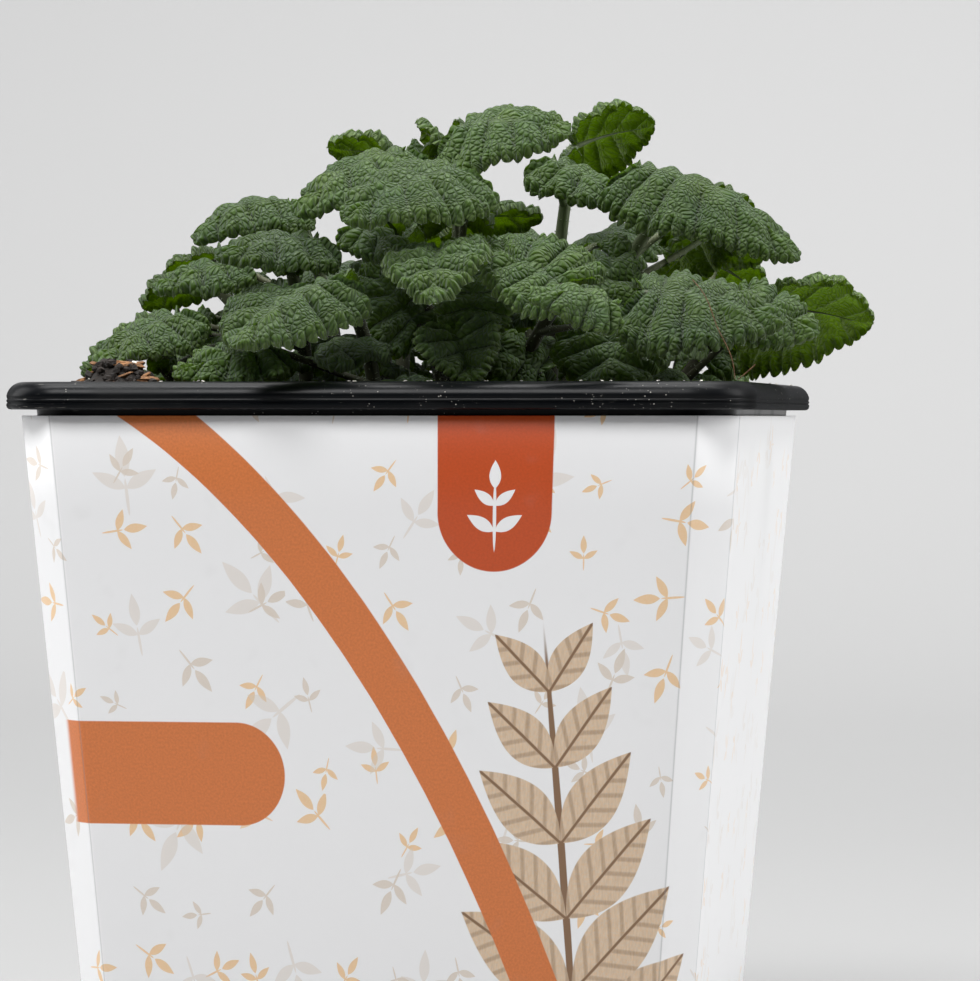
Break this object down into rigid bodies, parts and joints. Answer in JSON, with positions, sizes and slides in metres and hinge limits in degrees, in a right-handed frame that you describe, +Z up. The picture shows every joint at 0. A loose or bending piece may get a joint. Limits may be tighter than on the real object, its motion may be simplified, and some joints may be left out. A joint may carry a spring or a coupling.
{
  "type": "catnip plant in a pot",
  "caption": "Bushy catnip plant with scalloped, quilted leaves in a square black nursery pot with a tapered white printed board sleeve.",
  "frame": {"origin": "centre of the underside of the pot, on the surface that it stands on", "axes": "+Z up; the printed front of the sleeve looks along -Y; +X is to the right as seen from the front"},
  "size_m": [0.1346, 0.1419, 0.1691],
  "materials": {
    "pot_plastic": "satin",
    "sleeve_board": "satin",
    "soil": "matte",
    "leaf": "matte"
  },
  "bodies": {
    "root": {"pot": "pot_plastic", "sleeve": "sleeve_board", "soil": "soil", "stem_01": "leaf", "stem_02": "leaf", "stem_03": "leaf", "stem_04": "leaf", "stem_05": "leaf", "stem_06": "leaf", "stem_07": "leaf", "stem_08": "leaf", "stem_09": "leaf", "stem_10": "leaf", "stem_11": "leaf", "stem_12": "leaf", "stem_13": "leaf", "stem_14": "leaf", "stem_15": "leaf", "stem_16": "leaf", "stem_17": "leaf", "stem_18": "leaf", "stem_19": "leaf", "stem_20": "leaf"}
  },
  "joints": []
}
